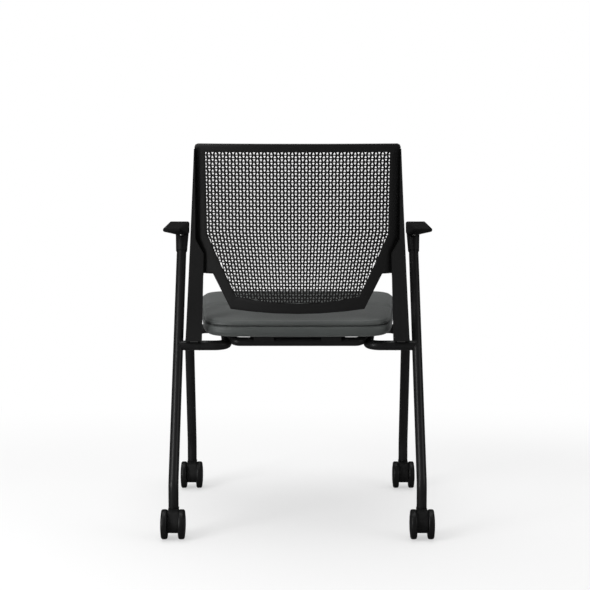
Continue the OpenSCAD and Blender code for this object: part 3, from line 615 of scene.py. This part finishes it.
def seat_ring(inset, height, share=1.0):
    """Evenly spaced points of the seat's outline, drawn in by an inset or shrunk towards its middle."""
    turn = np.linspace(0, 2 * np.pi, outline_steps + 1)
    wide, deep = (np.sign(part) * np.abs(part) ** (2 / corner_power)
                  for part in (np.cos(turn), np.sin(turn)))
    half = (front_half + rear_half) / 2 - (front_half - rear_half) / 2 * deep
    x, y = share * (half - inset) * wide, seat_middle + share * (seat_depth / 2 - inset) * deep
    walked = np.concatenate([[0], np.cumsum(np.hypot(np.diff(x), np.diff(y)))])
    at = np.linspace(0, walked[-1], around, endpoint=False)
    return [(a, b, height) for a, b in zip(np.interp(at, walked, x), np.interp(at, walked, y))]


def between(values, k, count):
    """Smooth curve through a list of values, at k steps of which count lie between two values."""
    i, t = k // count, k % count / count
    a, b = values[max(i - 1, 0)], values[i]
    c, d = values[min(i + 1, len(values) - 1)], values[min(i + 2, len(values) - 1)]
    return b + 0.5 * ((c - a) * t + (2 * a - 5 * b + 4 * c - d) * t ** 2 + (3 * b - a - 3 * c + d) * t ** 3)


skin = bmesh.new()
rings = []
insets, heights = zip(*levels)
for k in range((len(levels) - 1) * per_level + 1):
    inset = between(insets, k, per_level) * rim_in
    height = pan_top + between(heights, k, per_level) * cushion_height
    rings.append([skin.verts.new(point) for point in seat_ring(inset, height)])
for k in range(top_rings - 1, 0, -1):
    share = k / top_rings
    height = pan_top + cushion_height + crown * (1 - share ** crown_power)
    rings.append([skin.verts.new(point) for point in seat_ring(insets[-1] * rim_in, height, share)])
joined(skin, rings, closed=False)
for ring, height in ((rings[-1], pan_top + cushion_height + crown), (rings[0], pan_top)):
    middle = skin.verts.new((0, seat_middle, height))
    for k in range(around):
        skin.faces.new((ring[k], ring[(k + 1) % around], middle))
bmesh.ops.recalc_face_normals(skin, faces=skin.faces)
cushion_mesh = bpy.data.meshes.new("cushion")
skin.to_mesh(cushion_mesh)
skin.free()
cushion = placed("cushion", cushion_mesh)


# The skin starts a little slack, is filled with air while its underside is held by the staples, and
# takes the large soft swells of that, without the small wrinkles.
def swell(piece, pressure, frames, cap, held):
    """How far each point of a cloth skin moves, up to a cap, when it is filled with air and held."""
    piece.vertex_groups.new(name="held").add(held, 1.0, "REPLACE")
    before = [vertex.co.copy() for vertex in piece.data.vertices]
    cloth = piece.modifiers.new("air", "CLOTH")
    cloth.settings.use_pressure = True
    cloth.settings.uniform_pressure_force = pressure
    cloth.settings.effector_weights.gravity = 0
    cloth.settings.vertex_group_mass = "held"
    cloth.point_cache.frame_start, cloth.point_cache.frame_end = 1, frames
    for number in range(1, frames + 1):
        bpy.context.scene.frame_set(number)
    plain(piece)
    bpy.context.scene.frame_set(1)
    ways = [vertex.co - start for vertex, start in zip(piece.data.vertices, before)]
    return [way * min(1, cap / max(way.length, 1e-9)) for way in ways]


def evened(ways, rows, columns, times):
    """The large soft swells of a movement on a grid that runs round, without its small wrinkles."""
    grid = np.array(ways)[:rows * columns].reshape(rows, columns, 3)
    for _ in range(times):
        padded = np.concatenate([grid[:1], grid, grid[-1:]])
        grid = (padded[:-2] + padded[2:] + np.roll(grid, 1, 1) + np.roll(grid, -1, 1)) / 4
    return grid.reshape(-1, 3)


air_pressure, air_frames, evening = 4, 20, 60
start_inset, inset_over, held_over = 0.003, 0.006, 0.0005
swell_cap, swell_least, swell_most = 0.008, 0.0004, 0.003
full = [vertex.co.copy() for vertex in cushion_mesh.vertices]
outwards = [vertex.normal.copy() for vertex in cushion_mesh.vertices]
for vertex, outward in zip(cushion_mesh.vertices, outwards):
    vertex.co -= outward * start_inset * min(1, max(0, (vertex.co.z - pan_top) / inset_over))
held = [vertex.index for vertex in cushion_mesh.vertices if vertex.co.z < pan_top + held_over]
ways = evened(swell(cushion, air_pressure, air_frames, swell_cap, held), len(rings), around, evening)
for vertex, start, outward, way in zip(cushion.data.vertices, full, outwards, ways):
    vertex.co = start + outward * min(swell_most, max(-swell_least, outward.dot(Vector(way))))
for vertex, start in list(zip(cushion.data.vertices, full))[len(ways):]:
    vertex.co = start + Vector((0, 0, ways[-1][2] if start.z > pan_top else 0))

# The seam runs all round the side, two thirds of the way up, and draws the vinyl in with small puckers:
# a pull for each row of points beside it, and each pucker's share of the pull, count and start.
seam_pulls = ((-2, 0.001), (-1, 0.0032), (0, 0.0064), (1, 0.0032), (2, 0.0008))
puckers = ((0.12, 41, 0), (0.08, 67, 1.3))
for row, pull in seam_pulls:
    ring = [cushion.data.vertices[(seam_level * per_level + row) * around + k] for k in range(around)]
    for vertex in ring:
        inward = -Vector((vertex.normal.x, vertex.normal.y, 0)).normalized()
        along = math.atan2(vertex.co.y - seat_middle, vertex.co.x)
        vertex.co += inward * pull * (1 + sum(share * math.sin(count * along + start)
                                              for share, count, start in puckers))
finer = cushion.modifiers.new("finer", "SUBSURF")
finer.levels = finer.render_levels = 1
plain(cushion)
cushion.data.transform(to_chair)

# The skin stays in the space of the CAD cushion, clear of the uprights when the seat flips up, and may
# stand proud of it only on top, over the front part.
side_proud, top_proud = -0.0004, 0.006
proud_from, proud_over = -0.06, 0.06
solid = bmesh.new()
solid.from_mesh(frame["nodes"]["seat_cushion"].data)
limit = BVHTree.FromBMesh(solid)
solid.free()
for vertex in cushion.data.vertices:
    nearest, outward, _, _ = limit.find_nearest(vertex.co)
    ahead = min(1, max(0, (proud_from - vertex.co.y) / proud_over))
    most = side_proud + (top_proud - side_proud) * ahead * min(1, max(0, outward.z))
    if (vertex.co - nearest).dot(outward) > most:
        vertex.co = nearest + outward * most
cushion.data.materials.clear()
cushion.data.materials.append(seat_vinyl)
for face in cushion.data.polygons:
    face.use_smooth = True
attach(cushion, "seat")
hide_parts("seat_cushion")


# Seat bumpers. Small feet of matt black rubber, pushed into the underside of the seat pan, that rest on
# the runs of the front legs when the seat is down.
rubber = Finish("black_rubber")
bumper_rubber = rubber.skin(
    base_color=(0.02, 0.02, 0.02, 1), roughness=0.6 + 0.2 * rubber.noise(300, 2.0),
    normal=rubber.bump(rubber.noise(2000, 2.0), 0.2, 0.0002))
smoothed("seat_bumpers", "seat", bumper_rubber)


# Arm pads. Black polyurethane with a soft grain, moulded over a steel plate that is screwed to the top
# of each rear leg through its sleeve.
polyurethane = Finish("black_polyurethane")
cloud = polyurethane.noise(12, 3.0)
pad_skin = polyurethane.skin(
    base_color=polyurethane.blend(cloud, (0.006, 0.006, 0.006), (0.0095, 0.0095, 0.0095)),
    roughness=0.7 + 0.12 * cloud, specular_ior_level=0.06,
    normal=polyurethane.bump(polyurethane.cells(900), 0.25, 0.0003))
for node in ("arm_pad_left", "arm_pad_right"):
    smoothed(node, "frame", pad_skin, crease=45)


# Caster wheels. Two wheels of glossy black nylon to a caster, each moulded in one piece with its tread,
# turn on one axle at the sides of the drum-shaped fork.
wheel_nylon = Finish("black_wheel_nylon")
cloud = wheel_nylon.noise(40, 3.0)
tread = wheel_nylon.skin(
    base_color=wheel_nylon.blend(cloud, (0.004, 0.004, 0.004), (0.0065, 0.0065, 0.0065)),
    roughness=0.34 + 0.16 * cloud, specular_ior_level=0.2,
    normal=wheel_nylon.bump(wheel_nylon.noise(1800, 2.0), 0.1, 0.0002))

# The wheel's section: shares of its radius, each with a share of its width from the inner face.
wheel_profile = [
    (0.134, 0.8), (0.134, 0.0), (0.33, 0.0), (0.345, 0.055), (0.82, 0.055), (0.85, 0.0), (0.905, 0.0),
    (0.96, 0.05), (0.99, 0.15), (1.0, 0.3), (1.0, 0.6), (0.988, 0.75), (0.955, 0.84), (0.905, 0.893),
    (0.86, 0.9), (0.845, 0.87), (0.83, 0.9), (0.72, 0.945), (0.61, 0.972), (0.6, 0.945), (0.585, 0.975),
    (0.45, 0.99), (0.25, 1.0), (0.238, 0.975), (0.225, 0.995), (0.1, 1.0)]
wheel_steps = 96
wheel_turns = [2 * math.pi * k / wheel_steps for k in range(wheel_steps)]
for node in body_of:
    if not node.startswith("wheel_"):
        continue
    low, high = [Vector(corner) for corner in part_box(node)]
    middle, wheel_radius, wheel_wide = (low + high) / 2, (high.z - low.z) / 2, high.x - low.x
    outward = 1 if ("_left_" in node) == ("_outer" in node) else -1
    face_x = middle.x - outward * wheel_wide / 2
    lathe = bmesh.new()
    rows = [[lathe.verts.new((face_x + outward * across * wheel_wide,
                              middle.y + share * wheel_radius * math.cos(turn),
                              middle.z + share * wheel_radius * math.sin(turn)))
             for turn in wheel_turns]
            for share, across in wheel_profile]
    joined(lathe, rows, closed=False)
    lathe.faces.new(rows[0])
    lathe.faces.new(rows[-1])
    wheel = formed(lathe, node + "_tread", tread, crease=38)
    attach(wheel, body_of[node])
    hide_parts(node)

low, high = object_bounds()
